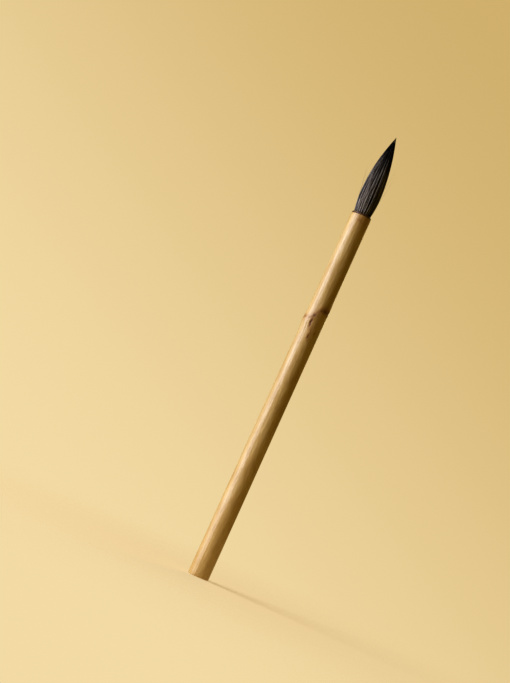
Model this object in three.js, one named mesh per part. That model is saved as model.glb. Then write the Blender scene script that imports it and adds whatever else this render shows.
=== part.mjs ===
// Bamboo ink brush: a natural bamboo handle with a round, pointed tuft of dark hair.
// Millimetres, +Z from the butt to the point, origin at the centre of the butt's flat face.
// The tuft is a bundle of hair locks whose tied, resin-sealed root is glued into a reamed socket.
import * as THREE from "three";

// ---- handle ---------------------------------------------------------------
const HANDLE_LENGTH = 190;
const BUTT_RADIUS = 5.25;
const MOUTH_RADIUS = 5.05;
const EDGE_ROUND = 0.4; // rounded outer edge at both ends
const LUMEN_RADIUS = 2.5; // the natural hollow of the culm
const HANDLE_SEGMENTS = 36;

// The node is a swelling with a fine ring in it. The ring slants round the culm.
const NODE_HEIGHT = HANDLE_LENGTH - 51.6;
const NODE_SWELL = 0.24;
const NODE_SWELL_REACH = 4.2;
const RING_DEPTH = 0.16;
const RING_REACH = 0.55;
const NODE_SLOPE = 0.67; // drop of the ring per millimetre of radius, on its low side
const NODE_LOW_AZIMUTH = THREE.MathUtils.degToRad(205);
const SLANT_REACH = 15; // the slant dies away over this height
const SEPTUM_THICKNESS = 2; // the wall that closes the lumen at the node

// ---- butt plug ------------------------------------------------------------
const PLUG_SOCKET_RADIUS = 3.1;
const PLUG_SOCKET_DEPTH = 8;
const PLUG_FIT = 0.12;
const PLUG_LENGTH = 7.6;
const PLUG_CHAMFER = 0.5;

// ---- socket and root --------------------------------------------------------
const SOCKET_RADIUS = 4.45;
const SOCKET_DEPTH = 12;
const FIT = 0.12; // clearance between nested pieces
const GLUE_THICKNESS = 0.2;
const SEAL_THICKNESS = 1.2;
const ROOT_GAP = 0.2; // end clearance between stacked pieces
const CORE_ROOT_RADIUS = 2.5;
const THREAD_RADIUS = 0.18;
const THREAD_PITCH = 0.5;
const THREAD_SIDES = 6;
const THREAD_STEPS_PER_TURN = 18;
const ROOT_TIE = { turns: 4, height: 3.4, waist: 0.5 }; // height of its middle above the root's end
const CORE_TIE = { turns: 3, height: 6.8, waist: 0.45 };
const ROOT_SEGMENTS = 32;
const socketFloor = HANDLE_LENGTH - SOCKET_DEPTH;
const rootTop = HANDLE_LENGTH - ROOT_GAP / 2;
const glueOuterRadius = SOCKET_RADIUS - FIT;
const glueInnerRadius = glueOuterRadius - GLUE_THICKNESS;
const rootOuterRadius = glueInnerRadius - FIT;
const rootInnerRadius = CORE_ROOT_RADIUS + FIT;
const sealBottom = socketFloor + ROOT_GAP;
const rootBottom = sealBottom + SEAL_THICKNESS + ROOT_GAP;

// ---- lacquer bead on the mouth ------------------------------------------------
const BEAD_INNER_RADIUS = 4.4;
const BEAD_OUTER_RADIUS = 4.98;
const BEAD_HEIGHT = 0.65;
const BEAD_GAP = 0.1;

// ---- tuft -------------------------------------------------------------------
const TUFT_LENGTH = 42; // free hair, from the mouth to the point
const TUFT_ROOT_RADIUS = 4.1;
const BELLY_RADIUS = 5.2;
const BELLY_HEIGHT = 10.5;
const SWELL_POWER = 2.2; // how quickly the hair spreads above the mouth
const TAPER_POWER = 2.05; // how full the tuft stays before it draws to a point
const TUFT_START = 0.2;
const STATIONS = 16;
const LOCK_GAP = 0.16;
const LOCK_GROOVE = 0.04; // valley between outer locks, as a share of the radius
const POINTS_PER_ARC = 4;
// Layers from the centre out. share is the layer's part of the root's radius, last is the station
// at which its hairs end, and endShare is how much of its thickness is left there.
const LAYERS = [
  { name: "point_hairs", locks: 1, share: 0.26, last: STATIONS, endShare: 0.15, groove: 0 },
  { name: "core_lock", locks: 6, share: 0.26, last: 15, endShare: 0.15, groove: 0 },
  { name: "belly_lock", locks: 8, share: 0.24, last: 10, endShare: 0.35, groove: 0 },
  { name: "mantle_lock", locks: 12, share: 0.24, last: 14, endShare: 0.15, groove: LOCK_GROOVE },
];

// ---- materials ----------------------------------------------------------------
const FINISHES = {
  bamboo: { color: 0xc99a5b, roughness: 0.42 },
  plug: { color: 0x9c6d3c, roughness: 0.6 },
  lacquer: { color: 0x5b3a1d, roughness: 0.35 },
  glue: { color: 0xb08a45, roughness: 0.3 },
  resin: { color: 0x3b2412, roughness: 0.4 },
  thread: { color: 0xc8b48c, roughness: 0.85 },
  hair: { color: 0x1c1615, roughness: 0.5 },
  innerHair: { color: 0x2b211d, roughness: 0.6 },
};

const brush = new THREE.Group();

function addPiece(name, geometry, finish) {
  const material = new THREE.MeshStandardMaterial({ ...FINISHES[finish], metalness: 0 });
  const piece = new THREE.Mesh(geometry, material);
  piece.name = name;
  brush.add(piece);
  return piece;
}

// A solid of revolution about Z from a list of [radius, height] points.
function turned(profile, segments) {
  const points = profile.map(([radius, height]) => new THREE.Vector2(radius, height));
  const geometry = new THREE.LatheGeometry(points, segments);
  geometry.rotateX(Math.PI / 2);
  return geometry;
}

function bell(distance, reach) {
  return Math.exp(-((distance / reach) ** 2));
}

// ---- handle -------------------------------------------------------------------
function handleRadius(height) {
  const taper = BUTT_RADIUS + ((MOUTH_RADIUS - BUTT_RADIUS) * height) / HANDLE_LENGTH;
  const fromNode = height - NODE_HEIGHT;
  return taper + NODE_SWELL * bell(fromNode, NODE_SWELL_REACH) - RING_DEPTH * bell(fromNode, RING_REACH);
}

// Quarter-round edge from a flat end onto the wall, centre at [cornerRadius, cornerHeight].
function roundedEdge(cornerRadius, cornerHeight, startAngle) {
  const steps = 3;
  const points = [];
  for (let step = 0; step <= steps; step += 1) {
    const angle = startAngle + (step / steps) * (Math.PI / 2);
    points.push([
      cornerRadius + EDGE_ROUND * Math.cos(angle),
      cornerHeight + EDGE_ROUND * Math.sin(angle),
    ]);
  }
  return points;
}

function handleWall() {
  const offsets = [-30, -12, -7, -4.5, -2.6, -1.2, -0.6, 0, 0.6, 1.2, 2.6, 4.5, 7, 12, 30];
  const heights = [45, 75, ...offsets.map((offset) => NODE_HEIGHT + offset)];
  return heights.map((height) => [handleRadius(height), height]);
}

// Slants everything near the node, so that its ring runs obliquely round the culm.
function slantNode(geometry) {
  const position = geometry.getAttribute("position");
  const lowX = Math.cos(NODE_LOW_AZIMUTH);
  const lowY = Math.sin(NODE_LOW_AZIMUTH);
  for (let index = 0; index < position.count; index += 1) {
    const height = position.getZ(index);
    const towardLowSide = position.getX(index) * lowX + position.getY(index) * lowY;
    const drop = NODE_SLOPE * towardLowSide * bell(height - NODE_HEIGHT, SLANT_REACH);
    position.setZ(index, height - drop);
  }
  return geometry;
}

function bambooHandle() {
  const septumLow = NODE_HEIGHT - SEPTUM_THICKNESS / 2;
  const septumHigh = NODE_HEIGHT + SEPTUM_THICKNESS / 2;
  const profile = [
    [0, septumLow],
    [LUMEN_RADIUS, septumLow],
    [LUMEN_RADIUS, PLUG_SOCKET_DEPTH],
    [PLUG_SOCKET_RADIUS, PLUG_SOCKET_DEPTH],
    [PLUG_SOCKET_RADIUS, 0],
    ...roundedEdge(BUTT_RADIUS - EDGE_ROUND, EDGE_ROUND, -Math.PI / 2),
    ...handleWall(),
    ...roundedEdge(MOUTH_RADIUS - EDGE_ROUND, HANDLE_LENGTH - EDGE_ROUND, 0),
    [SOCKET_RADIUS, HANDLE_LENGTH],
    [SOCKET_RADIUS, socketFloor],
    [LUMEN_RADIUS, socketFloor],
    [LUMEN_RADIUS, septumHigh],
    [0, septumHigh],
  ];
  return slantNode(turned(profile, HANDLE_SEGMENTS));
}

function buttPlug() {
  const radius = PLUG_SOCKET_RADIUS - PLUG_FIT;
  return turned([
    [0, 0],
    [radius, 0],
    [radius, PLUG_LENGTH - PLUG_CHAMFER],
    [radius - PLUG_CHAMFER, PLUG_LENGTH],
    [0, PLUG_LENGTH],
  ], ROOT_SEGMENTS);
}

// ---- root ---------------------------------------------------------------------
function socketGlue() {
  return turned([
    [glueInnerRadius, rootTop],
    [glueInnerRadius, sealBottom],
    [glueOuterRadius, sealBottom],
    [glueOuterRadius, rootTop],
    [glueInnerRadius, rootTop],
  ], ROOT_SEGMENTS);
}

function rootSeal() {
  const chamfer = 0.3;
  return turned([
    [0, sealBottom],
    [rootOuterRadius - chamfer, sealBottom],
    [rootOuterRadius, sealBottom + chamfer],
    [rootOuterRadius, sealBottom + SEAL_THICKNESS],
    [0, sealBottom + SEAL_THICKNESS],
  ], ROOT_SEGMENTS);
}

// The outline of a bundle drawn in where its thread is wound, from bottom to top.
function tiedOutline(radius, tie) {
  const middle = rootBottom + tie.height;
  const halfWound = (tie.turns * THREAD_PITCH) / 2 + 2 * THREAD_RADIUS;
  const shoulder = tie.waist;
  return [
    [radius, rootBottom],
    [radius, middle - halfWound - shoulder],
    [radius - tie.waist, middle - halfWound],
    [radius - tie.waist, middle + halfWound],
    [radius, middle + halfWound + shoulder],
    [radius, rootTop],
  ];
}

function coreRoot() {
  return turned([
    [0, rootBottom],
    ...tiedOutline(CORE_ROOT_RADIUS, CORE_TIE),
    [0, rootTop],
  ], ROOT_SEGMENTS);
}

function mantleRoot() {
  return turned([
    [rootInnerRadius, rootTop],
    [rootInnerRadius, rootBottom],
    ...tiedOutline(rootOuterRadius, ROOT_TIE),
    [rootInnerRadius, rootTop],
  ], ROOT_SEGMENTS);
}

// Thread wound round a waist, as a helix along Z.
class Winding extends THREE.Curve {
  constructor(radius, middle, turns) {
    super();
    this.radius = radius;
    this.middle = middle;
    this.turns = turns;
  }

  getPoint(t, target = new THREE.Vector3()) {
    const angle = t * this.turns * 2 * Math.PI;
    const height = this.middle + (t - 0.5) * this.turns * THREAD_PITCH;
    return target.set(this.radius * Math.cos(angle), this.radius * Math.sin(angle), height);
  }
}

function threadSection() {
  const section = new THREE.Shape();
  for (let side = 0; side < THREAD_SIDES; side += 1) {
    const angle = (side / THREAD_SIDES) * 2 * Math.PI;
    const x = THREAD_RADIUS * Math.cos(angle);
    const y = THREAD_RADIUS * Math.sin(angle);
    if (side === 0) {
      section.moveTo(x, y);
    } else {
      section.lineTo(x, y);
    }
  }
  section.closePath();
  return section;
}

function threadTie(bundleRadius, tie) {
  const windingRadius = bundleRadius - tie.waist + THREAD_RADIUS + FIT / 2;
  return new THREE.ExtrudeGeometry(threadSection(), {
    extrudePath: new Winding(windingRadius, rootBottom + tie.height, tie.turns),
    steps: tie.turns * THREAD_STEPS_PER_TURN,
    curveSegments: 1,
  });
}

function mouthBead() {
  const low = HANDLE_LENGTH + BEAD_GAP;
  const high = low + BEAD_HEIGHT;
  const width = BEAD_OUTER_RADIUS - BEAD_INNER_RADIUS;
  return turned([
    [BEAD_INNER_RADIUS, low],
    [BEAD_OUTER_RADIUS - 0.15 * width, low],
    [BEAD_OUTER_RADIUS, low + 0.3 * BEAD_HEIGHT],
    [BEAD_OUTER_RADIUS - 0.25 * width, low + 0.75 * BEAD_HEIGHT],
    [BEAD_OUTER_RADIUS - 0.75 * width, high],
    [BEAD_INNER_RADIUS, high],
    [BEAD_INNER_RADIUS, low],
  ], HANDLE_SEGMENTS);
}

// ---- tuft ---------------------------------------------------------------------
function tuftRadius(height) {
  if (height < BELLY_HEIGHT) {
    const toBelly = 1 - height / BELLY_HEIGHT;
    return BELLY_RADIUS - (BELLY_RADIUS - TUFT_ROOT_RADIUS) * toBelly ** SWELL_POWER;
  }
  const pastBelly = (height - BELLY_HEIGHT) / (TUFT_LENGTH - BELLY_HEIGHT);
  return BELLY_RADIUS * (1 - pastBelly ** TAPER_POWER);
}

function stationHeight(station) {
  return TUFT_START + ((TUFT_LENGTH - TUFT_START) * station) / STATIONS;
}

// A layer thins towards its hairs' ends and is gone past its last station.
function layerShare(layer, station) {
  if (station > layer.last) {
    return 0;
  }
  return layer.share * (1 - (1 - layer.endShare) * (station / layer.last) ** 3);
}

// Inner and outer radius of a layer at a station, with half of the gap taken on each side.
function layerRadii(layerIndex, station) {
  const shares = LAYERS.map((layer) => layerShare(layer, station));
  const total = shares.reduce((sum, share) => sum + share, 0);
  const inside = shares.slice(0, layerIndex).reduce((sum, share) => sum + share, 0);
  const outside = inside + shares[layerIndex];
  const radius = tuftRadius(stationHeight(station));
  const isOutermost = shares.slice(layerIndex + 1).every((share) => share === 0);
  return {
    inner: (radius * inside) / total + LOCK_GAP / 2,
    outer: (radius * outside) / total - (isOutermost ? 0 : LOCK_GAP / 2),
  };
}

// One arc of a lock's section: its sides stay parallel to the next lock's sides.
function lockArc(radius, height, lockAngle, locks, groove) {
  const halfAngle = Math.PI / locks - Math.asin(LOCK_GAP / 2 / radius);
  const arc = [];
  for (let point = 0; point < POINTS_PER_ARC; point += 1) {
    const across = (2 * point) / (POINTS_PER_ARC - 1) - 1;
    const angle = lockAngle + across * halfAngle;
    const reach = radius * (1 - groove * across ** 2);
    arc.push([reach * Math.cos(angle), reach * Math.sin(angle), height + HANDLE_LENGTH]);
  }
  return arc;
}

// A closed solid through rings of equal length. Each ring is an outer arc, then the inner arc back.
function lofted(rings) {
  const count = rings[0].length;
  const positions = rings.flat(2);
  const indices = [];
  for (let ring = 0; ring < rings.length - 1; ring += 1) {
    for (let side = 0; side < count; side += 1) {
      const a = ring * count + side;
      const b = ring * count + ((side + 1) % count);
      indices.push(a, b, b + count, a, b + count, a + count);
    }
  }
  const top = (rings.length - 1) * count;
  for (let side = 0; side < count / 2 - 1; side += 1) {
    const outer = side;
    const inner = count - 1 - side;
    indices.push(outer, inner, inner - 1, outer, inner - 1, outer + 1);
    indices.push(top + outer, top + inner - 1, top + inner, top + outer, top + outer + 1, top + inner - 1);
  }
  const geometry = new THREE.BufferGeometry();
  geometry.setAttribute("position", new THREE.Float32BufferAttribute(positions, 3));
  geometry.setIndex(indices);
  geometry.computeVertexNormals();
  return geometry;
}

function hairLock(layerIndex, lock) {
  const layer = LAYERS[layerIndex];
  const lockAngle = (2 * Math.PI * (lock + 0.5)) / layer.locks;
  const rings = [];
  for (let station = 0; station <= layer.last; station += 1) {
    const { inner, outer } = layerRadii(layerIndex, station);
    const height = stationHeight(station);
    const outerArc = lockArc(outer, height, lockAngle, layer.locks, layer.groove);
    const innerArc = lockArc(inner, height, lockAngle, layer.locks, 0);
    rings.push([...outerArc, ...innerArc.reverse()]);
  }
  return lofted(rings);
}

function pointHairs() {
  const segments = 12;
  const profile = [[0, HANDLE_LENGTH + TUFT_START]];
  for (let station = 0; station < STATIONS; station += 1) {
    profile.push([layerRadii(0, station).outer, HANDLE_LENGTH + stationHeight(station)]);
  }
  profile.push([0, HANDLE_LENGTH + TUFT_LENGTH]);
  return turned(profile, segments);
}

// ---- assembly -------------------------------------------------------------------
addPiece("bamboo_handle", bambooHandle(), "bamboo");
addPiece("butt_plug", buttPlug(), "plug");
addPiece("mouth_bead", mouthBead(), "lacquer");
addPiece("socket_glue", socketGlue(), "glue");
addPiece("root_seal", rootSeal(), "resin");
addPiece("mantle_root", mantleRoot(), "hair");
addPiece("root_tie", threadTie(rootOuterRadius, ROOT_TIE), "thread");
addPiece("core_root", coreRoot(), "innerHair");
addPiece("core_tie", threadTie(CORE_ROOT_RADIUS, CORE_TIE), "thread");
addPiece("point_hairs", pointHairs(), "innerHair");
LAYERS.forEach((layer, layerIndex) => {
  if (layer.locks === 1) {
    return;
  }
  const finish = layer.name === "mantle_lock" ? "hair" : "innerHair";
  for (let lock = 0; lock < layer.locks; lock += 1) {
    const number = String(lock + 1).padStart(2, "0");
    addPiece(`${layer.name}_${number}`, hairLock(layerIndex, lock), finish);
  }
});

export default brush;
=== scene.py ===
"""Bamboo ink brush: natural bamboo handle, round pointed tuft of dark hair.

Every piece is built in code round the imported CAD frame, in metres, +Z from the butt to the point.
"""
import math

import bpy
import numpy as np
from mathutils import Matrix, Vector


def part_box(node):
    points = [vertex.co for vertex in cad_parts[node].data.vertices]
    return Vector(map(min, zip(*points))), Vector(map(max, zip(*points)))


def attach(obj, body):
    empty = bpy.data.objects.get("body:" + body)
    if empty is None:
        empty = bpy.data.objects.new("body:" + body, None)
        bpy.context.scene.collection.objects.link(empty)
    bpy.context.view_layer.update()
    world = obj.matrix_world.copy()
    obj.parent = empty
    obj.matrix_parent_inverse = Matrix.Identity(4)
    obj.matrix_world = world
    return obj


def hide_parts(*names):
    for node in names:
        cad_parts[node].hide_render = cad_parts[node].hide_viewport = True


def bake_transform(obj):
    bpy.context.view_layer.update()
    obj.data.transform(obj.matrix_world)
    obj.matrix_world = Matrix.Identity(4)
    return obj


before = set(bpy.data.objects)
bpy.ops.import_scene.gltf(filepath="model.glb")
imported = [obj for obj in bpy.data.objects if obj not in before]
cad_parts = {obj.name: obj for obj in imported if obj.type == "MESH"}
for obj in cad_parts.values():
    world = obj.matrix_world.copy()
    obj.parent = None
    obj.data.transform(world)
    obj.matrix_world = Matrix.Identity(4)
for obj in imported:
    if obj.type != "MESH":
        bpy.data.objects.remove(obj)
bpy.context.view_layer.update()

MM = 0.001
FULL_TURN = 2 * math.pi
CORNER_POINTS = 5  # in each rounded corner

# ---- places taken from the frame -------------------------------------------------
MOUTH_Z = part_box("bamboo_handle")[1].z
POINT_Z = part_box("point_hairs")[1].z
TUFT_START_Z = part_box("point_hairs")[0].z
TUFT_LENGTH = POINT_Z - MOUTH_Z
MOUTH = Vector((0, 0, MOUTH_Z))

# ---- handle ------------------------------------------------------------------------
BUTT_RADIUS = 5.25 * MM
MOUTH_RADIUS = 5.05 * MM
EDGE_ROUND = 0.4 * MM
LUMEN_RADIUS = 2.5 * MM
SOCKET_RADIUS = 4.45 * MM
SOCKET_DEPTH = 12 * MM
PLUG_SOCKET_RADIUS = 3.1 * MM
PLUG_SOCKET_DEPTH = 8 * MM
NODE_Z = MOUTH_Z - 51.6 * MM
NODE_SWELL = 0.24 * MM
NODE_SWELL_REACH = 4.2 * MM
RING_DEPTH = 0.16 * MM
RING_REACH = 0.55 * MM
NODE_DROP = 5.4 * MM  # from the high side of the slanted ring to its low side
NODE_RISE = 0.26  # share of that drop by which the high side lies above NODE_Z
NODE_LOW_AZIMUTH = math.radians(195)
BACK_SLOWER = 0.75  # the ring turns from low to high this much slower round the back
SLANT_REACH = 15 * MM
SEPTUM_THICKNESS = 2 * MM
HANDLE_COLUMNS = 144
BEAD_COLUMNS = 144
PLUG_COLUMNS = 64
FRONT_AZIMUTH = math.radians(-90)  # the side of the brush that faces the camera

# Marks on the skin: degrees round from the front; in mm how far below the mouth, half the width, half
# the length and how deep; and how dark, 0 to 1. The first two and the last are bud scars.
MARKS = [
    {"round": -11, "below": 57.3, "wide": 0.50, "long": 1.9, "depth": 0.16, "stain": 1.00},
    {"round": 5, "below": 64.1, "wide": 0.42, "long": 1.1, "depth": 0.14, "stain": 1.00},
    {"round": 8, "below": 60.8, "wide": 0.30, "long": 1.5, "depth": 0.05, "stain": 0.45},
    {"round": -9, "below": 60.6, "wide": 0.25, "long": 1.3, "depth": 0.03, "stain": 0.25},
    {"round": 14, "below": 65.8, "wide": 0.30, "long": 0.9, "depth": 0.02, "stain": 0.30},
    {"round": -8, "below": 53.5, "wide": 0.70, "long": 0.7, "depth": 0.08, "stain": 0.55},
    {"round": -24, "below": 55.2, "wide": 0.80, "long": 0.9, "depth": 0.03, "stain": 0.16},
    {"round": -66, "below": 55.6, "wide": 0.90, "long": 1.0, "depth": 0.18, "stain": 0.60},
    {"round": 34, "below": 61.5, "wide": 0.45, "long": 0.6, "depth": 0.03, "stain": 0.45},
    {"round": 8, "below": 2.9, "wide": 1.30, "long": 1.0, "depth": 0.02, "stain": 0.40},
    {"round": -12, "below": 2.2, "wide": 0.80, "long": 0.6, "depth": 0.02, "stain": 0.25},
    {"round": 128, "below": 84.0, "wide": 0.50, "long": 1.1, "depth": 0.08, "stain": 0.80},
    {"round": -150, "below": 30.0, "wide": 0.40, "long": 1.5, "depth": 0.04, "stain": 0.50},
    {"round": 100, "below": 140.0, "wide": 0.60, "long": 0.8, "depth": 0.05, "stain": 0.60},
    {"round": 175, "below": 58.0, "wide": 0.55, "long": 2.0, "depth": 0.16, "stain": 0.90},
]

# ---- tuft ----------------------------------------------------------------------------
TUFT_ROOT_RADIUS = 4.1 * MM
BELLY_RADIUS = 5.30 * MM
BELLY_HEIGHT = 10.5 * MM
SWELL_POWER = 1.9
TAPER_POWER = 1.955
TUFT_LEAN = 0.31 * MM  # how far the point hangs to the left of the handle's axis
MANTLE_LOCKS = 12
BELLY_LOCKS = 8
CORE_LOCKS = 6
CLUMPS_PER_LOCK = 4
HAIRS_PER_CLUMP = 50
MANTLE_DEPTH = 0.15  # how far below the surface its hairs may lie, as a share of the radius
MANTLE_REACH = (0.84, 0.985)  # range of its hairs' lengths, as shares of the tuft's length
POINT_CLUMPS = 14
POINT_HAIRS_PER_CLUMP = 30
POINT_DEPTH = 0.55
POINT_REACH = (0.93, 1.0)
POINT_TONE = 0.75  # against the mantle's
# Every other clump is a ridge: narrow, pale and high. The valleys between them are wide, dark and sunk.
RIDGE = {"width": 0.25, "sink": 0.0, "tone": 0.36, "pale_end": 0.10}
VALLEY = {"width": 0.8, "sink": 0.03, "tone": -0.30, "pale_end": -0.06}
LOOSE_HAIRS = 0.07  # share of the hairs that cross their clump
PALE_HAIRS = 0.025  # share of the hairs that lie on top, thicker and paler
HAIR_WIDTH = 0.125 * MM
HAIR_STEPS = 16
# Painted shade: the outer hair is darker on these sides, its left edge and right of the front. Degrees
# round from the front, how wide in radians, and how much darker, 0 to 1.
PAINTED_SHADE_SIDES = [
    {"round": -95, "wide": 0.5, "dark": 0.5},
    {"round": 55, "wide": 0.6, "dark": 0.3},
]
MANTLE_SEED = 3440
POINT_SEED = 77
STRAY_SEED = 205
STRAY_HAIR_WIDTH = 0.07 * MM
STRAY_HAIR_TONE = 0.45
BELLY_TONE = 0.25
CORE_TONE = 0.3
SPINDLE_ROWS = 60
SPINDLE_COLUMNS = 168
# Stray hairs: degrees round from the front, the heights in mm above the mouth where one leaves the
# mantle and where it ends, and how far out it leans.
STRAY_HAIRS = [
    (-84, 5, 21, 2.2),
    (-97, 9, 24, 1.2),
    (88, 8, 25, 2.0),
    (79, 14, 29, 1.5),
    (-35, 6, 19, 1.4),
    (160, 7, 22, 1.8),
    (-150, 10, 26, 1.3),
    (30, 12, 25, 1.0),
]

# ---- camera --------------------------------------------------------------------------
CAMERA_DISTANCE = 0.883  # metres from the lens to the mouth of the handle
CAMERA_LENS = 96  # mm
CAMERA_SENSOR = 36  # mm
SEEN_FROM_BELOW = math.radians(8)  # the sight line meets the brush this much from the butt's side
LEAN = math.radians(24.4)  # how far the brush leans to the right in the picture
MOUTH_RIGHT = math.radians(3.343)  # where the mouth lies from the middle of the picture
MOUTH_UP = math.radians(3.937)

# ---- floor: it glows a little, so that the shadow on it stays soft, and fades into the backdrop ---
FLOOR_RINGS = (0.05, 0.1, 0.2, 0.3)  # radii in metres
FLOOR_COLUMNS = 96
FLOOR_GLOW = 0.6
FLOOR_ALBEDO = 0.62
FLOOR_FADE_START = 30  # mm from the brush
FLOOR_FADE_END = 260
FLOOR_FADE_POWER = 1.6

# ---- colours, linear -----------------------------------------------------------------
BACKDROP_LIT = (0.635, 0.520, 0.315)
BACKDROP_FAR = (0.475, 0.350, 0.155)
FLOOR = (0.595, 0.480, 0.290)
BOUNCE = (1.0, 0.73, 0.12)
BOUNCE_STRENGTH = 0.16
# The backdrop darkens along this direction, from its lit end to its far end.
BACKDROP_DIRECTION = (0.48, 0.0, 0.87)
BACKDROP_LIT_END = -0.13
BACKDROP_FAR_END = 0.27


# =======================================================================================
# helpers
# =======================================================================================
def bell(distance, reach):
    """1 at distance 0, and almost 0 from twice the reach."""
    return np.exp(-((distance / reach) ** 2))


def smooth_step(value, low, high):
    """0 up to low and 1 from high, with a smooth rise between them."""
    t = np.clip((value - low) / (high - low), 0, 1)
    return t * t * (3 - 2 * t)


def random_waves(angle, seed, lowest, highest):
    """A smooth closed curve round a circle, about -1 to 1, from whole numbers of waves."""
    draw = np.random.default_rng(seed)
    total = np.zeros_like(angle)
    counts = range(lowest, highest + 1)
    for count in counts:
        total = total + draw.normal() * np.cos(count * angle + draw.uniform(0, FULL_TURN))
    return total / math.sqrt(len(counts))


def make_object(name, vertices, faces, materials, face_materials=None, sharp_angle=40):
    """A smooth shaded mesh. Edges that turn by more than sharp_angle degrees stay sharp."""
    mesh = bpy.data.meshes.new(name)
    mesh.from_pydata(np.asarray(vertices).tolist(), [], faces)
    for material in materials:
        mesh.materials.append(material)
    if face_materials is not None:
        mesh.polygons.foreach_set("material_index", np.asarray(face_materials, np.int32))
    mesh.shade_smooth()
    mesh.set_sharp_from_angle(angle=math.radians(sharp_angle))
    mesh.update()
    piece = bpy.data.objects.new(name, mesh)
    bpy.context.scene.collection.objects.link(piece)
    return piece


def add_attribute(piece, name, values):
    """Stores a value for each vertex, which the materials read by its name."""
    attribute = piece.data.attributes.new(name, "FLOAT", "POINT")
    attribute.data.foreach_set("value", np.asarray(values, np.float32))


def turned_grid(profile, columns, shape=None):
    """Vertices and faces of a solid of revolution about Z.

    profile is a list of (radius, height), going anticlockwise round the section. Where its first and
    last points are on the axis they become poles, and otherwise the profile closes on itself.
    shape moves the grid: it takes angle, radius and height and gives radius and height back.
    """
    profile = np.asarray(profile, float)
    has_poles = profile[0, 0] < 1e-9 and profile[-1, 0] < 1e-9
    rings = profile[1:-1] if has_poles else profile
    angle = np.arange(columns) / columns * FULL_TURN
    angles, radii = np.meshgrid(angle, rings[:, 0])
    heights = np.repeat(rings[:, 1:2], columns, axis=1)
    if shape is not None:
        radii, heights = shape(angles, radii, heights)
    vertices = np.stack([radii * np.cos(angles), radii * np.sin(angles), heights], -1).reshape(-1, 3)
    count = len(rings)
    faces = []
    rows = []
    for ring in range(count - 1 if has_poles else count):
        above = (ring + 1) % count
        for column in range(columns):
            following = (column + 1) % columns
            faces.append((ring * columns + column, ring * columns + following,
                          above * columns + following, above * columns + column))
            rows.append(ring + 1 if has_poles else ring)
    if has_poles:
        first = len(vertices)
        vertices = np.vstack([vertices, [0, 0, profile[0, 1]], [0, 0, profile[-1, 1]]])
        top = (count - 1) * columns
        for column in range(columns):
            following = (column + 1) % columns
            faces.append((first, following, column))
            rows.append(0)
            faces.append((first + 1, top + column, top + following))
            rows.append(count)
    return vertices, faces, np.array(rows)


def rounded_corner(centre_radius, centre_height, rounding, start_angle):
    """Quarter circle about (centre_radius, centre_height), anticlockwise from start_angle."""
    points = []
    for angle in start_angle + np.linspace(0, math.pi / 2, CORNER_POINTS):
        radius = centre_radius + rounding * math.cos(angle)
        height = centre_height + rounding * math.sin(angle)
        points.append((radius, height))
    return points


def azimuth_from_front(degrees):
    """Angle about Z of a place that is this many degrees anticlockwise from the front, seen from above."""
    return FRONT_AZIMUTH + math.radians(degrees)


def turn_between(angle, centre):
    """Signed angle from centre, from -pi to pi."""
    return (angle - centre + math.pi) % FULL_TURN - math.pi


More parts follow.
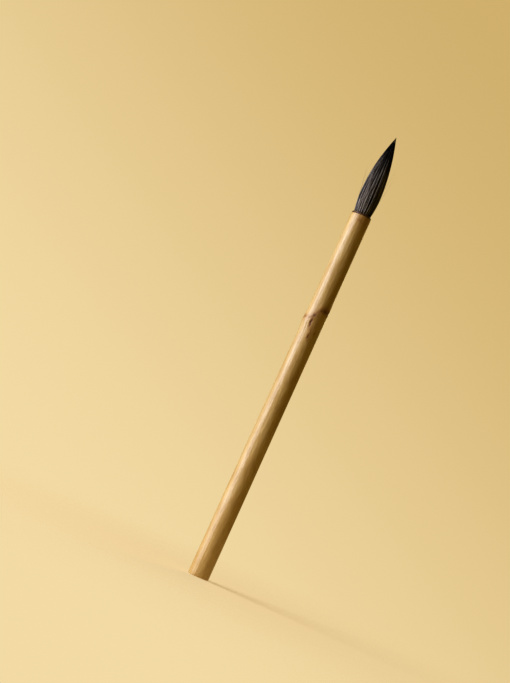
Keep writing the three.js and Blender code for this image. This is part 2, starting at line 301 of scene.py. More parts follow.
# =======================================================================================
# material nodes
# =======================================================================================
class Surface:
    """A material with a Principled shader and short ways to add procedural nodes to it."""

    def __init__(self, name, **constants):
        self.material = bpy.data.materials.new(name)
        self.material.use_nodes = True
        self.tree = self.material.node_tree
        self.tree.nodes.clear()
        self.shader = self.add("ShaderNodeBsdfPrincipled")
        output = self.add("ShaderNodeOutputMaterial")
        self.join(self.shader.outputs["BSDF"], output.inputs["Surface"])
        for key, value in constants.items():
            self.shader.inputs[key.replace("_", " ")].default_value = value
        coordinates = self.add("ShaderNodeTexCoord")
        scale = self.add("ShaderNodeVectorMath", operation="SCALE")
        scale.inputs["Scale"].default_value = 1 / MM
        self.join(coordinates.outputs["Object"], scale.inputs[0])
        self.millimetres = scale.outputs[0]

    def add(self, kind, **settings):
        node = self.tree.nodes.new(kind)
        for key, value in settings.items():
            setattr(node, key, value)
        return node

    def join(self, source, target):
        self.tree.links.new(source, target)

    def set_input(self, socket, value):
        if isinstance(value, bpy.types.NodeSocket):
            self.join(value, socket)
        elif isinstance(value, tuple) and len(value) == 3 and socket.type == "RGBA":
            socket.default_value = (*value, 1)
        else:
            socket.default_value = value

    def stretched(self, across, along):
        """Coordinates for a pattern with that many features per mm across and along the brush."""
        node = self.add("ShaderNodeVectorMath", operation="MULTIPLY")
        self.join(self.millimetres, node.inputs[0])
        node.inputs[1].default_value = (across, across, along)
        return node.outputs[0]

    def noise(self, across, along, detail=3.0, roughness=0.55):
        node = self.add("ShaderNodeTexNoise")
        self.join(self.stretched(across, along), node.inputs["Vector"])
        node.inputs["Scale"].default_value = 1
        node.inputs["Detail"].default_value = detail
        node.inputs["Roughness"].default_value = roughness
        return node.outputs["Fac"]

    def cells(self, across, along):
        """Distance from the nearest of many scattered points."""
        node = self.add("ShaderNodeTexVoronoi")
        self.join(self.stretched(across, along), node.inputs["Vector"])
        node.inputs["Scale"].default_value = 1
        return node.outputs["Distance"]

    def attribute(self, name):
        return self.add("ShaderNodeAttribute", attribute_name=name).outputs["Fac"]

    def math(self, operation, first, second, clamp=False):
        node = self.add("ShaderNodeMath", operation=operation, use_clamp=clamp)
        self.set_input(node.inputs[0], first)
        self.set_input(node.inputs[1], second)
        return node.outputs[0]

    def range(self, value, low, high, new_low=0.0, new_high=1.0):
        node = self.add("ShaderNodeMapRange")
        self.join(value, node.inputs["Value"])
        node.inputs["From Min"].default_value = low
        node.inputs["From Max"].default_value = high
        node.inputs["To Min"].default_value = new_low
        node.inputs["To Max"].default_value = new_high
        return node.outputs["Result"]

    def ramp(self, factor, *stops):
        node = self.add("ShaderNodeValToRGB")
        self.join(factor, node.inputs["Fac"])
        elements = node.color_ramp.elements
        while len(elements) < len(stops):
            elements.new(0.5)
        for element, (position, colour) in zip(elements, stops):
            element.position = position
            element.color = (*colour, 1)
        return node.outputs["Color"]

    def mix(self, factor, first, second, blend="MIX"):
        node = self.add("ShaderNodeMix", data_type="RGBA", blend_type=blend)
        self.set_input(node.inputs["Factor"], factor)
        self.set_input(node.inputs["A"], first)
        self.set_input(node.inputs["B"], second)
        return node.outputs["Result"]

    def colour(self, value):
        self.set_input(self.shader.inputs["Base Color"], value)

    def roughness(self, value):
        self.set_input(self.shader.inputs["Roughness"], value)

    def bump(self, *layers):
        """Each layer is (height, strength, depth in mm)."""
        normal = None
        for height, strength, depth in layers:
            node = self.add("ShaderNodeBump")
            node.inputs["Strength"].default_value = strength
            node.inputs["Distance"].default_value = depth * MM
            self.join(height, node.inputs["Height"])
            if normal is not None:
                self.join(normal, node.inputs["Normal"])
            normal = node.outputs["Normal"]
        self.join(normal, self.shader.inputs["Normal"])


# =======================================================================================
# materials
# =======================================================================================
def bamboo_skin():
    """Polished golden skin: soft blotches, long fibres, brown marks and painted shade where the stain
    attribute says.
    """
    surface = Surface("bamboo_skin", Specular_IOR_Level=0.95)
    blotches = surface.noise(0.22, 0.045, detail=4, roughness=0.6)
    streaks = surface.noise(1.3, 0.018, detail=4, roughness=0.6)
    fibres = surface.noise(6.0, 0.05, detail=3, roughness=0.6)
    base = surface.ramp(
        blotches,
        (0.30, (0.46, 0.285, 0.088)),
        (0.50, (0.585, 0.400, 0.150)),
        (0.70, (0.62, 0.450, 0.200)),
    )
    patches = surface.noise(0.42, 0.11, detail=4, roughness=0.65)
    base = surface.mix(surface.range(patches, 0.48, 0.70, 0.0, 0.48), base, (0.40, 0.235, 0.085))
    base = surface.mix(surface.range(streaks, 0.40, 0.72, 0.0, 0.50), base, (0.42, 0.255, 0.075))
    base = surface.mix(surface.range(fibres, 0.52, 0.78, 0.0, 0.40), base, (0.36, 0.20, 0.065))
    ragged = surface.range(surface.noise(1.8, 0.6, detail=4), 0.3, 0.7, 0.6, 1.3)
    stain = surface.math("MULTIPLY", surface.attribute("stain"), ragged, clamp=True)
    marked = surface.ramp(
        stain,
        (0.0, (1.0, 1.0, 1.0)),
        (0.35, (0.78, 0.64, 0.50)),
        (0.75, (0.45, 0.31, 0.20)),
        (1.0, (0.27, 0.16, 0.09)),
    )
    base = surface.mix(1.0, base, marked, blend="MULTIPLY")
    flecks = surface.range(surface.cells(0.45, 0.12), 0.02, 0.09, 0.45, 0.0)
    base = surface.mix(flecks, base, (0.20, 0.09, 0.03))
    surface.colour(base)
    gloss = surface.range(patches, 0.3, 0.7, 0.43, 0.54)
    surface.roughness(surface.math("ADD", gloss, surface.math("MULTIPLY", stain, 0.25)))
    undulation = surface.noise(0.30, 0.10, detail=2)
    surface.bump((undulation, 0.7, 0.45), (streaks, 0.35, 0.05), (fibres, 0.4, 0.02))
    return surface.material


def bamboo_cut():
    """Cut bamboo: pale ground tissue with dark fibre bundles, seen end on or along the wall."""
    surface = Surface("bamboo_cut", Specular_IOR_Level=0.3)
    bundles = surface.range(surface.cells(2.6, 0.05), 0.12, 0.34)
    tissue = surface.noise(1.1, 0.2, detail=4)
    base = surface.ramp(tissue, (0.3, (0.50, 0.33, 0.15)), (0.7, (0.66, 0.47, 0.25)))
    surface.colour(surface.mix(bundles, (0.20, 0.10, 0.035), base))
    surface.roughness(surface.range(tissue, 0.2, 0.8, 0.6, 0.8))
    surface.bump((bundles, 0.5, 0.08))
    return surface.material


def plug_wood():
    surface = Surface("plug_wood", Specular_IOR_Level=0.3)
    rings = surface.add("ShaderNodeTexWave", wave_type="RINGS", rings_direction="Z", wave_profile="SAW")
    surface.join(surface.stretched(0.8, 0.02), rings.inputs["Vector"])
    rings.inputs["Scale"].default_value = 1.0
    rings.inputs["Distortion"].default_value = 2.5
    rings.inputs["Detail"].default_value = 3.0
    pores = surface.range(surface.cells(5.0, 0.3), 0.1, 0.3)
    base = surface.ramp(rings.outputs["Fac"], (0.1, (0.20, 0.10, 0.035)), (0.9, (0.36, 0.20, 0.08)))
    surface.colour(surface.mix(pores, (0.09, 0.04, 0.015), base))
    surface.roughness(surface.range(surface.noise(1.2, 0.4), 0.3, 0.7, 0.55, 0.75))
    surface.bump((pores, 0.4, 0.05))
    return surface.material


def lacquer():
    surface = Surface("mouth_lacquer", Coat_Weight=0.1, Coat_Roughness=0.25, Specular_IOR_Level=0.35)
    patches = surface.noise(0.9, 1.4, detail=4)
    surface.colour(surface.ramp(
        patches,
        (0.3, (0.035, 0.017, 0.009)),
        (0.5, (0.11, 0.055, 0.027)),
        (0.72, (0.26, 0.14, 0.06)),
    ))
    surface.roughness(surface.range(patches, 0.3, 0.7, 0.28, 0.5))
    surface.bump((surface.noise(2.4, 2.4, detail=3), 0.5, 0.1))
    return surface.material


def cured_glue():
    surface = Surface("cured_glue", Coat_Weight=0.3, Coat_Roughness=0.12)
    cloud = surface.noise(0.7, 0.7, detail=5)
    surface.colour(surface.ramp(cloud, (0.3, (0.30, 0.16, 0.035)), (0.7, (0.50, 0.31, 0.10))))
    surface.roughness(surface.range(cloud, 0.3, 0.7, 0.22, 0.4))
    surface.bump((surface.noise(3.0, 3.0, detail=2), 0.3, 0.05))
    return surface.material


def fused_resin():
    surface = Surface("fused_resin", Coat_Weight=0.25, Coat_Roughness=0.2)
    cloud = surface.noise(1.4, 1.4, detail=5)
    surface.colour(surface.ramp(cloud, (0.3, (0.016, 0.007, 0.003)), (0.7, (0.075, 0.032, 0.012))))
    surface.roughness(surface.range(cloud, 0.3, 0.7, 0.3, 0.55))
    surface.bump((surface.noise(4.0, 4.0, detail=3), 0.6, 0.08))
    return surface.material


def thread_fibre():
    surface = Surface("thread_fibre", Specular_IOR_Level=0.25, Sheen_Weight=0.25, Sheen_Roughness=0.4)
    fibres = surface.noise(9.0, 14.0, detail=2)
    surface.colour(surface.ramp(fibres, (0.3, (0.33, 0.24, 0.13)), (0.7, (0.62, 0.50, 0.31))))
    surface.roughness(surface.range(fibres, 0.3, 0.7, 0.75, 0.92))
    surface.bump((fibres, 0.6, 0.04))
    return surface.material


def dark_hair(name, darkest, middle, lightest):
    """Hair whose colour varies from strand to strand, by the strand's own tone, and along it."""
    surface = Surface(name, Specular_IOR_Level=0.14)
    drift = surface.range(surface.noise(0.9, 0.09, detail=3), 0.3, 0.7, -0.14, 0.14)
    tone = surface.math("ADD", surface.attribute("tone"), drift, clamp=True)
    surface.colour(surface.ramp(tone, (0.0, darkest), (0.5, middle), (1.0, lightest)))
    surface.roughness(surface.range(tone, 0.0, 1.0, 0.45, 0.62))
    surface.bump((surface.noise(6.0, 0.7, detail=2), 0.25, 0.02))
    return surface.material


MATERIALS = {
    "bamboo": bamboo_skin(),
    "bamboo_cut": bamboo_cut(),
    "plug_wood": plug_wood(),
    "lacquer": lacquer(),
    "glue": cured_glue(),
    "resin": fused_resin(),
    "thread": thread_fibre(),
    "outer_hair": dark_hair(
        "outer_hair",
        darkest=(0.005, 0.005, 0.005),
        middle=(0.085, 0.076, 0.068),
        lightest=(0.60, 0.53, 0.475),
    ),
    "inner_hair": dark_hair(
        "inner_hair",
        darkest=(0.003, 0.002, 0.002),
        middle=(0.010, 0.007, 0.006),
        lightest=(0.035, 0.024, 0.020),
    ),
}


# =======================================================================================
# handle
# =======================================================================================
def handle_radius(height):
    """Radius of the even wall: its taper, the swelling at the node and the groove of its ring."""
    taper = BUTT_RADIUS + (MOUTH_RADIUS - BUTT_RADIUS) * height / MOUTH_Z
    swelling = NODE_SWELL * bell(height - NODE_Z, NODE_SWELL_REACH)
    groove = RING_DEPTH * bell(height - NODE_Z, RING_REACH)
    return taper + swelling - groove


def wall_heights():
    """Rows up the outer wall, close together round the node and the scars."""
    coarse = 1.2 * MM
    fine = 0.22 * MM
    low = NODE_Z - 19 * MM
    high = NODE_Z + 7 * MM
    below = np.arange(2 * coarse, low, coarse)
    middle = np.arange(low, high, fine)
    above = np.arange(high, MOUTH_Z - coarse, coarse)
    return np.concatenate([below, middle, above])


def mark_distance(mark, angle, height):
    """0 at the middle of a mark and 1 at its edge. Its outline is a little ragged."""
    across = turn_between(angle, azimuth_from_front(mark["round"])) * MOUTH_RADIUS / MM
    along = (height - (MOUTH_Z - mark["below"] * MM)) / MM
    across = across + 0.25 * mark["wide"] * np.sin(2.3 * along + mark["round"])
    return np.hypot(across / mark["wide"], along / mark["long"])


def ring_wear(angle):
    """1 where the node's ring is polished away by handling, 0 where it is still sharp."""
    return smooth_step(np.cos(angle - azimuth_from_front(-5)), -0.3, 0.7)


def node_drop(angle, radius):
    """How far the node is lowered here. It falls steeply across the front and more gently behind."""
    turn = turn_between(angle, NODE_LOW_AZIMUTH)
    low_side = np.cos(turn * np.where(turn < 0, BACK_SLOWER, 1))
    return NODE_DROP * radius / MOUTH_RADIUS * (smooth_step(low_side, -0.1, 0.8) - NODE_RISE)


def wall_unevenness(angle, height):
    """Slow waves up the wall, and fine ribs along it."""
    uneven = 0.03 * MM * random_waves(angle, 11, 2, 4) * np.cos(height / (31 * MM))
    uneven = uneven + 0.02 * MM * random_waves(angle, 12, 3, 7) * np.sin(height / (17 * MM) + 1)
    return uneven + 0.008 * MM * random_waves(angle, 13, 14, 30)


def node_relief(angle, height):
    """What the node adds: a bulge on its low side, a lip below the ring, and the ring's worn part."""
    low_side = np.cos(angle - NODE_LOW_AZIMUTH)
    bulge = NODE_SWELL * 0.7 * low_side * bell(height - NODE_Z + 1.5 * MM, 3.2 * MM)
    worn = ring_wear(angle)
    lip = (0.08 - 0.07 * worn) * MM * bell(height - NODE_Z + 1.1 * MM, 0.6 * MM)
    filled = 0.8 * worn * RING_DEPTH * bell(height - NODE_Z, RING_REACH)
    return bulge + lip + filled


def mark_relief(mark, angle, height):
    """A mark's hollow, with a low rim round it."""
    distance = mark_distance(mark, angle, height)
    return mark["depth"] * MM * (0.2 * bell(distance - 1.8, 0.6) - bell(distance, 1.0))


def bamboo_shape(angle, radius, height):
    """Natural unevenness of the outer wall, the bud scars, and the slant of the node."""
    is_outer = radius > SOCKET_RADIUS + 0.05 * MM
    slanted = height - node_drop(angle, radius) * bell(height - NODE_Z, SLANT_REACH)
    change = wall_unevenness(angle, height) + node_relief(angle, height)
    for mark in MARKS:
        change = change + mark_relief(mark, angle, slanted)
    return radius + np.where(is_outer, change, 0), slanted


def right_of_front(angle):
    """1 on the right side as seen from the front, where the ring is a soft band of painted shade and not a
    line.
    """
    return smooth_step(np.cos(angle - azimuth_from_front(58)), 0.25, 0.9)


def ring_stain(angle, above_ring):
    """The broken dark line of the ring."""
    broken = np.clip(0.6 + 0.4 * random_waves(angle, 21, 2, 7), 0.1, 1) * (1 - 0.85 * ring_wear(angle))
    return 0.85 * broken * (1 - 0.7 * right_of_front(angle)) * bell(above_ring, 0.5 * MM)


def haze_and_painted_shade(angle, above_ring):
    """The soft brown haze above the ring, strongest on its high side, and painted shade along the ring on
    the right.
    """
    high_side = 0.5 - 0.5 * np.cos(angle - NODE_LOW_AZIMUTH)
    haze = (0.46 * high_side + 0.10) * bell(above_ring - 0.6 * MM, 2.0 * MM)
    # Painted shade: a dark band along the ring on the right side as seen from the front.
    return haze + 0.30 * right_of_front(angle) * bell(above_ring - 0.1 * MM, 1.2 * MM)


def mouth_stain(angle, height):
    """Skin browned by handling near the mouth, and lacquer that has run a little over its edge."""
    below_mouth = MOUTH_Z - height
    handled_side = smooth_step(np.cos(angle - azimuth_from_front(60)), -0.1, 0.7)
    lacquered = np.clip(0.5 + 0.6 * random_waves(angle, 22, 2, 8), 0, 1)
    return 0.13 * handled_side * bell(below_mouth, 8 * MM) + 0.45 * lacquered * bell(below_mouth, 0.5 * MM)


def bamboo_stain_and_shade(angle, height, above_ring):
    """How dark the skin is, 0 to 1: stains and marks, and painted shade at the ring."""
    stain = ring_stain(angle, above_ring) + haze_and_painted_shade(angle, above_ring) + mouth_stain(angle, height)
    for mark in MARKS:
        distance = mark_distance(mark, angle, height)
        stain = stain + mark["stain"] * (0.8 * bell(distance, 0.9) + 0.35 * bell(distance, 2.1))
    return np.clip(stain, 0, 1)


def build_handle():
    septum_low = NODE_Z - SEPTUM_THICKNESS / 2
    septum_high = NODE_Z + SEPTUM_THICKNESS / 2
    socket_floor = MOUTH_Z - SOCKET_DEPTH
    inside_below = [
        (0, septum_low),
        (LUMEN_RADIUS, septum_low),
        (LUMEN_RADIUS, PLUG_SOCKET_DEPTH),
        (PLUG_SOCKET_RADIUS, PLUG_SOCKET_DEPTH),
        (PLUG_SOCKET_RADIUS, 0),
    ]
    butt_edge = rounded_corner(BUTT_RADIUS - EDGE_ROUND, EDGE_ROUND, EDGE_ROUND, -math.pi / 2)
    wall = [(handle_radius(height), height) for height in wall_heights()]
    mouth_edge = rounded_corner(MOUTH_RADIUS - EDGE_ROUND, MOUTH_Z - EDGE_ROUND, EDGE_ROUND, 0)
    inside_above = [
        (SOCKET_RADIUS, MOUTH_Z),
        (SOCKET_RADIUS, socket_floor),
        (LUMEN_RADIUS, socket_floor),
        (LUMEN_RADIUS, septum_high),
        (0, septum_high),
    ]
    profile = inside_below + butt_edge + wall + mouth_edge + inside_above
    vertices, faces, rows = turned_grid(profile, HANDLE_COLUMNS, bamboo_shape)
    first_skin = len(inside_below)
    last_skin = len(profile) - len(inside_above) - 1
    is_skin = (rows >= first_skin) & (rows < last_skin)
    piece = make_object("bamboo_culm", vertices, faces, [MATERIALS["bamboo"], MATERIALS["bamboo_cut"]],
                        np.where(is_skin, 0, 1))
    angle = np.arctan2(vertices[:, 1], vertices[:, 0])
    radius = np.hypot(vertices[:, 0], vertices[:, 1])
    slant = node_drop(angle, radius) * bell(vertices[:, 2] - NODE_Z, SLANT_REACH)
    above_ring = vertices[:, 2] + slant - NODE_Z
    # The stain attribute holds real marks and the painted shade along the ring.
    add_attribute(piece, "stain", bamboo_stain_and_shade(angle, vertices[:, 2], above_ring))
    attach(piece, "handle")
    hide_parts("bamboo_handle")


def build_plug():
    low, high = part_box("butt_plug")
    radius = high.x
    chamfer = 0.35 * MM
    profile = [(0, low.z), (radius * 0.5, low.z), (radius - chamfer, low.z)]
    profile += rounded_corner(radius - chamfer, low.z + chamfer, chamfer, -math.pi / 2)[1:]
    profile += [(radius, high.z - 2 * chamfer)]
    profile += rounded_corner(radius - chamfer, high.z - chamfer, chamfer, 0)
    profile += [(0, high.z)]
    vertices, faces, _ = turned_grid(profile, PLUG_COLUMNS)
    piece = make_object("end_plug", vertices, faces, [MATERIALS["plug_wood"]])
    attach(piece, "handle")
    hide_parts("butt_plug")


def build_bead():
    """The lacquer that wets the rim and creeps unevenly up the hair."""
    low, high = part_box("mouth_bead")
    inner = TUFT_ROOT_RADIUS + 0.12 * MM
    outer = high.x
    tall = high.z - low.z

    def uneven(angle, radius, height):
        share = np.clip((height - low.z) / tall, 0, 1)
        creep = 1 + 0.30 * random_waves(angle, 31, 3, 16)
        swell = 0.05 * MM * random_waves(angle, 32, 2, 12) * share
        return radius + swell, low.z + (height - low.z) * np.clip(creep, 0.5, 1.5)

    steps = 14
    profile = [(inner, low.z), (outer - 0.1 * MM, low.z)]
    for step in range(steps + 1):
        turn = step / steps * math.pi / 2
        radius = inner + (outer - inner) * math.cos(turn) ** 0.8
        profile.append((radius, low.z + 0.08 * MM + tall * math.sin(turn)))
    vertices, faces, _ = turned_grid(profile, BEAD_COLUMNS, uneven)
    piece = make_object("lacquer_bead", vertices, faces, [MATERIALS["lacquer"]], sharp_angle=70)
    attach(piece, "handle")
    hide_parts("mouth_bead")


# =======================================================================================
# tuft
# =======================================================================================
def tuft_radius(height):
    """Radius of the free tuft at a height above the mouth."""
    to_belly = np.clip(1 - height / BELLY_HEIGHT, 0, 1)
    swell = BELLY_RADIUS - (BELLY_RADIUS - TUFT_ROOT_RADIUS) * to_belly ** SWELL_POWER
    past_belly = np.clip((height - BELLY_HEIGHT) / (TUFT_LENGTH - BELLY_HEIGHT), 0, 1)
    return np.where(height < BELLY_HEIGHT, swell, BELLY_RADIUS * (1 - past_belly ** TAPER_POWER))


def strand_mesh(centres, widths):
    """Tapered three-sided tubes. centres is (strands, steps, 3) and widths (strands, steps)."""
    strands, steps, _ = centres.shape
    around = np.arctan2(centres[..., 1], centres[..., 0])
    radial = np.stack([np.cos(around), np.sin(around), np.zeros_like(around)], -1)
    tangent = np.stack([-np.sin(around), np.cos(around), np.zeros_like(around)], -1)
    reach = (widths / 2)[..., None]
    corners = []
    for side in range(3):
        turn = side * FULL_TURN / 3
        corners.append(centres + reach * (math.cos(turn) * radial + math.sin(turn) * tangent))
    vertices = np.stack(corners, 2).reshape(-1, 3)
    index = np.arange(strands * steps * 3).reshape(strands, steps, 3)
    faces = []
    for side in range(3):
        other = (side + 1) % 3
        lower = [index[:, :-1, side], index[:, :-1, other]]
        upper = [index[:, 1:, other], index[:, 1:, side]]
        faces += np.stack(lower + upper, -1).reshape(-1, 4).tolist()
    faces += index[:, 0, ::-1].tolist()
    faces += index[:, -1, :].tolist()
    return vertices, faces


def draw_clumps(draw, middle, half_width, count):
    """Where clumps of hair lie side by side in one sector, and how each differs, one value per clump."""
    clump_half = half_width / count
    numbers = np.arange(count)
    kinds = [RIDGE if number % 2 == 0 else VALLEY for number in numbers]

    def of_kind(key):
        return np.array([kind[key] for kind in kinds])

    place = middle - half_width + clump_half * (2 * numbers + 1)
    return {
        "middle": place + 0.32 * clump_half * draw.normal(0, 1, count),
        "spread": clump_half * draw.uniform(0.8, 1.1, count) * of_kind("width"),
        "sink": draw.uniform(0, 0.03, count) + of_kind("sink"),
        "tone": draw.normal(0, 0.14, count) + of_kind("tone"),
        "pale_end": of_kind("pale_end"),
        "turns": draw.uniform(0.8, 1.7, count),
        "phase": draw.uniform(0, 1, count),
        "sway": draw.normal(0, 0.035, count),
    }


def strand_tones(draw, clump, along, share, angle, is_pale):
    """How pale each hair is along its length. It is darker towards the point, and on two sides with painted
    shade.
    """
    count = len(angle)
    weave = 0.09 * np.sin(FULL_TURN * (clump["turns"] * 2.3 * along + 3 * clump["phase"]))
    tone = 0.50 + clump["tone"] + weave + draw.normal(0, 0.13, (count, 1)) + np.where(is_pale, 0.4, 0)
    darkening = share + draw.normal(0, 0.07, (count, 1)) - clump["pale_end"]
    tones = np.clip(tone, 0, 1) * (1 - 0.85 * smooth_step(darkening, 0.30, 0.90))
    # Painted shade on two sides of the outer hair.
    for side in PAINTED_SHADE_SIDES:
        turn = turn_between(angle, azimuth_from_front(side["round"]))
        tones = tones * (1 - side["dark"] * bell(turn, side["wide"]))
    return tones


def strand_paths(draw, middle, half_width, clumps, hairs, depth, reach):
    """Centre lines, tones and thicknesses of hairs that lie in clumps side by side in one sector.

    hairs is the number in each clump, depth how far below the surface they may lie, as a share of the
    radius, and reach the range of their lengths as shares of the tuft's length.
    """
    count = clumps * hairs
    traits = draw_clumps(draw, middle, half_width, clumps)
    clump = {key: np.repeat(values, hairs)[:, None] for key, values in traits.items()}

    along = np.linspace(0, 1, HAIR_STEPS)[None, :]
    start = TUFT_START_Z - MOUTH_Z
    ends = TUFT_LENGTH * draw.uniform(*reach, (count, 1))
    height = start + (ends - start) * along
    share = height / TUFT_LENGTH
    off_middle = draw.uniform(-1, 1, (count, 1))
    is_loose = draw.uniform(0, 1, (count, 1)) < LOOSE_HAIRS
    is_pale = draw.uniform(0, 1, (count, 1)) < PALE_HAIRS

    gather = 1 - 0.5 * smooth_step(share, 0.02, 0.35)
    wave = np.sin(FULL_TURN * (draw.uniform(0.3, 1.0, (count, 1)) * along + draw.uniform(0, 1, (count, 1))))
    wander = wave * np.where(is_loose, 0.12, 0.015) * draw.normal(0, 1, (count, 1))
    sway = clump["sway"] * np.sin(FULL_TURN * (clump["turns"] * along + clump["phase"]))
    angle = clump["middle"] + off_middle * clump["spread"] * gather
    angle = angle + (wander + sway) * smooth_step(share, 0, 0.12)

    below = draw.uniform(0, 1, (count, 1)) ** 1.4 * np.where(is_loose | is_pale, 0, depth)
    rounding = 0.07 * off_middle ** 2 * smooth_step(share, 0.02, 0.2)
    radius = np.clip(tuft_radius(height) - HAIR_WIDTH / 2, 0.01 * MM, None)
    radius = radius * (1 - below) * (1 - rounding) * (1 - clump["sink"])
    centres = np.stack([radius * np.cos(angle), radius * np.sin(angle), MOUTH_Z + height], -1)
    tones = strand_tones(draw, clump, along, share, angle, is_pale)
    return centres, along, tones, np.where(is_pale, 1.5, 1.0)


def strand_widths(draw, along, thickness):
    """Each hair has its own width and gets thinner towards its end."""
    taper = np.clip(1 - along ** 4, 0.12, 1) * (1 - 0.35 * along)
    return HAIR_WIDTH * thickness * draw.uniform(0.75, 1.25, thickness.shape) * taper


def hair_piece(name, vertices, faces, tones, material, replaced):
    """A piece of the tuft. It takes the tuft's lean."""
    share = (vertices[:, 2] - MOUTH_Z) / TUFT_LENGTH
    vertices[:, 0] -= TUFT_LEAN * smooth_step(share, 0, 0.68)
    piece = make_object(name, vertices, faces, [MATERIALS[material]], sharp_angle=180)
    add_attribute(piece, "tone", tones)
    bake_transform(piece)
    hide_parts(*replaced)


def build_mantle_lock(lock):
    draw = np.random.default_rng(MANTLE_SEED + lock)
    half_width = math.pi / MANTLE_LOCKS
    middle = (2 * lock + 1) * half_width
    centres, along, tones, thickness = strand_paths(
        draw, middle, half_width, CLUMPS_PER_LOCK, HAIRS_PER_CLUMP, MANTLE_DEPTH, MANTLE_REACH
    )
    vertices, faces = strand_mesh(centres, strand_widths(draw, along, thickness))
    number = f"{lock + 1:02d}"
    hair_piece(f"mantle_hairs_{number}", vertices, faces, np.repeat(tones, 3), "outer_hair",
               [f"mantle_lock_{number}"])


def build_stray_hairs():
    """A few hairs that have left the mantle and stand a little away from it."""
    draw = np.random.default_rng(STRAY_SEED)
    count = len(STRAY_HAIRS)
    along = np.linspace(0, 1, HAIR_STEPS)[None, :]
    stray = np.array(STRAY_HAIRS, float)
    angle = FRONT_AZIMUTH + np.radians(stray[:, 0:1])
    low = stray[:, 1:2] * MM
    high = stray[:, 2:3] * MM
    away = stray[:, 3:4] * MM
    height = low + (high - low) * along
    leaving = smooth_step(along, 0.0, 1.0)
    radius = tuft_radius(low) * 0.96 + away * along + 0.4 * MM * leaving * draw.normal(0, 1, (count, 1))
    angle = angle + 0.12 * leaving * draw.normal(0, 1, (count, 1))
    centres = np.stack([radius * np.cos(angle), radius * np.sin(angle), MOUTH_Z + height], -1)
    widths = STRAY_HAIR_WIDTH * (1 - 0.6 * along) * np.ones((count, 1))
    vertices, faces = strand_mesh(centres, widths)
    tones = np.full(len(vertices), STRAY_HAIR_TONE)
    hair_piece("stray_hairs", vertices, faces, tones, "outer_hair", [])


def fluted_spindle(share_of_radius, end_share, flutes, seed):
    """A closed bundle of hair that fills the tuft's middle, grooved lengthwise."""
    start = TUFT_START_Z - MOUTH_Z
    end = TUFT_LENGTH * end_share
    profile = [(0, MOUTH_Z + start)]
    for row in range(SPINDLE_ROWS + 1):
        height = start + (end - start) * row / SPINDLE_ROWS
        closing = math.sqrt(1 - (row / (SPINDLE_ROWS + 1)) ** 8)
        profile.append((float(tuft_radius(height)) * share_of_radius * closing, MOUTH_Z + height))
    profile.append((0, MOUTH_Z + end + 0.05 * MM))

    def grooved(angle, radius, height):
        drift = 0.12 * np.sin((height - MOUTH_Z) / (9 * MM) + seed)
        waves = 0.5 * np.cos(flutes * (angle + drift)) + 0.25 * random_waves(angle + drift, seed, 9, 40)
        return radius * (1 + 0.035 * waves), height

    return turned_grid(profile, SPINDLE_COLUMNS, grooved)


def build_belly():
    vertices, faces, _ = fluted_spindle(share_of_radius=0.80, end_share=0.62, flutes=40, seed=41)
    tones = np.full(len(vertices), BELLY_TONE)
    hair_piece("belly_hairs", vertices, faces, tones, "inner_hair",
               [f"belly_lock_{number + 1:02d}" for number in range(BELLY_LOCKS)])


def build_core():
    vertices, faces, _ = fluted_spindle(share_of_radius=0.55, end_share=0.93, flutes=26, seed=42)
    tones = np.full(len(vertices), CORE_TONE)
    hair_piece("core_hairs", vertices, faces, tones, "inner_hair",
               [f"core_lock_{number + 1:02d}" for number in range(CORE_LOCKS)])


def build_point():
    """The longest hairs. They lie under the mantle and come out of it to make the point."""
    draw = np.random.default_rng(POINT_SEED)
    centres, along, tones, thickness = strand_paths(
        draw, math.pi, math.pi, POINT_CLUMPS, POINT_HAIRS_PER_CLUMP, POINT_DEPTH, POINT_REACH
    )
    vertices, faces = strand_mesh(centres, strand_widths(draw, along, thickness))
    tones = np.repeat(POINT_TONE * tones, 3)
    hair_piece("point_strands", vertices, faces, tones, "outer_hair", ["point_hairs"])


# =======================================================================================
# root, inside the socket
# =======================================================================================
def finish_cad_node(name, material):
    """These inner pieces keep the shapes of the CAD model and only get a material."""
    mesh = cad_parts[name].data
    mesh.materials.clear()
    mesh.materials.append(MATERIALS[material])
    mesh.shade_smooth()
    mesh.set_sharp_from_angle(angle=math.radians(35))


def build_root():
    finish_cad_node("socket_glue", "glue")
    finish_cad_node("root_seal", "resin")
    finish_cad_node("mantle_root", "outer_hair")
    finish_cad_node("core_root", "inner_hair")
    finish_cad_node("root_tie", "thread")
    finish_cad_node("core_tie", "thread")


# =======================================================================================
# stage, lights, camera
# =======================================================================================
def floor_material():
    """Pale and matt. It glows a little, and fades out with the distance from the brush."""
    surface = Surface("pale_floor", Specular_IOR_Level=0.0, Roughness=1.0, Emission_Strength=1.0)
    surface.colour(tuple(FLOOR_ALBEDO * part for part in FLOOR))
    glow = tuple(FLOOR_GLOW * part for part in FLOOR)
    surface.set_input(surface.shader.inputs["Emission Color"], glow)
    distance = surface.add("ShaderNodeVectorMath", operation="LENGTH")
    surface.join(surface.millimetres, distance.inputs[0])
    alpha = surface.range(distance.outputs["Value"], FLOOR_FADE_START, FLOOR_FADE_END, 1.0, 0.0)
    surface.join(surface.math("POWER", alpha, FLOOR_FADE_POWER), surface.shader.inputs["Alpha"])
    return surface.material


def build_floor():
    """A pale seamless floor: a disc that fades into the backdrop's colour."""
    vertices = [(0, 0, 0)]
    for radius in FLOOR_RINGS:
        for column in range(FLOOR_COLUMNS):
            angle = column / FLOOR_COLUMNS * FULL_TURN
            vertices.append((radius * math.cos(angle), radius * math.sin(angle), 0))
    faces = []
    for column in range(FLOOR_COLUMNS):
        following = (column + 1) % FLOOR_COLUMNS
        faces.append((0, 1 + column, 1 + following))
        for ring in range(len(FLOOR_RINGS) - 1):
            low = 1 + ring * FLOOR_COLUMNS
            high = low + FLOOR_COLUMNS
            faces.append((low + column, high + column, high + following, low + following))
    floor = make_object("floor", vertices, faces, [floor_material()])
    floor.location.z = -0.05 * MM


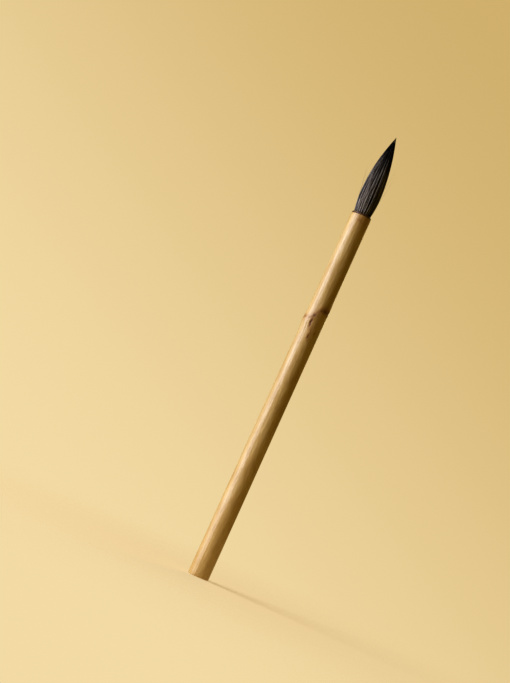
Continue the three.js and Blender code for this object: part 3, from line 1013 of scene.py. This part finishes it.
def build_world():
    """The camera sees a paper backdrop, brighter low down and on the key light's side.

    The brush gets only a dim, warm bounce from all round.
    """
    world = bpy.data.worlds.new("studio")
    bpy.context.scene.world = world
    world.use_nodes = True
    tree = world.node_tree
    tree.nodes.clear()
    output = tree.nodes.new("ShaderNodeOutputWorld")
    choice = tree.nodes.new("ShaderNodeMixShader")
    path = tree.nodes.new("ShaderNodeLightPath")
    bounce = tree.nodes.new("ShaderNodeBackground")
    bounce.inputs["Color"].default_value = (*BOUNCE, 1)
    bounce.inputs["Strength"].default_value = BOUNCE_STRENGTH
    direction = tree.nodes.new("ShaderNodeTexCoord")
    across = tree.nodes.new("ShaderNodeVectorMath")
    across.operation = "DOT_PRODUCT"
    across.inputs[1].default_value = BACKDROP_DIRECTION
    blend = tree.nodes.new("ShaderNodeMapRange")
    blend.interpolation_type = "SMOOTHSTEP"
    blend.inputs["From Min"].default_value = BACKDROP_LIT_END
    blend.inputs["From Max"].default_value = BACKDROP_FAR_END
    paper = tree.nodes.new("ShaderNodeMix")
    paper.data_type = "RGBA"
    paper.inputs["A"].default_value = (*BACKDROP_LIT, 1)
    paper.inputs["B"].default_value = (*BACKDROP_FAR, 1)
    seen = tree.nodes.new("ShaderNodeBackground")
    tree.links.new(direction.outputs["Generated"], across.inputs[0])
    tree.links.new(across.outputs["Value"], blend.inputs["Value"])
    tree.links.new(blend.outputs["Result"], paper.inputs["Factor"])
    tree.links.new(paper.outputs["Result"], seen.inputs["Color"])
    tree.links.new(path.outputs["Is Camera Ray"], choice.inputs["Fac"])
    tree.links.new(bounce.outputs["Background"], choice.inputs[1])
    tree.links.new(seen.outputs["Background"], choice.inputs[2])
    tree.links.new(choice.outputs["Shader"], output.inputs["Surface"])


def add_softbox(name, round_from_front, elevation, distance, width, height, power, colour):
    """A rectangular area light that faces the middle of the brush."""
    light = bpy.data.lights.new(name, "AREA")
    light.shape = "RECTANGLE"
    light.size = width
    light.size_y = height
    light.energy = power
    light.color = colour
    lamp = bpy.data.objects.new(name, light)
    bpy.context.scene.collection.objects.link(lamp)
    azimuth = azimuth_from_front(round_from_front)
    rise = math.radians(elevation)
    away = Vector((math.cos(azimuth) * math.cos(rise), math.sin(azimuth) * math.cos(rise), math.sin(rise)))
    target = Vector((0, 0, 0.7 * MOUTH_Z))
    lamp.location = target + away * distance
    lamp.rotation_mode = "QUATERNION"
    lamp.rotation_quaternion = (-away).to_track_quat("-Z", "Y")


def build_lights():
    """A tall key light on the left, a faint card beside it, and a warm bounce from behind."""
    add_softbox("key_softbox", round_from_front=-71, elevation=20, distance=0.9,
                width=0.62, height=1.4, power=12.4, colour=(0.93, 0.99, 1.21))
    add_softbox("side_card", round_from_front=-128, elevation=10, distance=0.9,
                width=0.8, height=1.0, power=0.25, colour=(0.90, 0.98, 1.15))
    add_softbox("back_bounce", round_from_front=168, elevation=20, distance=1.2,
                width=0.7, height=0.7, power=4.5, colour=(1.0, 0.78, 0.42))


def build_camera():
    """The photograph's view: the camera is turned and rolled, so that the brush leans in the picture."""
    back = Vector((0, -math.cos(SEEN_FROM_BELOW), -math.sin(SEEN_FROM_BELOW)))
    sight = -back
    side = sight.cross(Vector((0, 0, 1))).normalized()
    seen_sight = Vector((math.tan(MOUTH_RIGHT), math.tan(MOUTH_UP), -1)).normalized()
    seen_lean = Vector((math.sin(LEAN), math.cos(LEAN), 0))
    seen_side = seen_sight.cross(seen_lean).normalized()
    in_frame = Matrix((side, sight, side.cross(sight))).transposed()
    in_view = Matrix((seen_side, seen_sight, seen_side.cross(seen_sight))).transposed()
    data = bpy.data.cameras.new("camera")
    data.lens = CAMERA_LENS
    data.sensor_width = CAMERA_SENSOR
    data.clip_start = 0.01
    data.clip_end = 20
    camera = bpy.data.objects.new("camera", data)
    bpy.context.scene.collection.objects.link(camera)
    camera.rotation_mode = "QUATERNION"
    camera.rotation_quaternion = (in_frame @ in_view.transposed()).to_quaternion()
    camera.location = MOUTH + back * CAMERA_DISTANCE
    bpy.context.scene.camera = camera


bpy.context.scene.view_settings.view_transform = "Standard"
bpy.context.scene.view_settings.look = "High Contrast"
build_camera()
build_world()
build_lights()
build_floor()
build_handle()
build_plug()
build_bead()
build_root()
for lock_number in range(MANTLE_LOCKS):
    build_mantle_lock(lock_number)
build_belly()
build_core()
build_point()
build_stray_hairs()
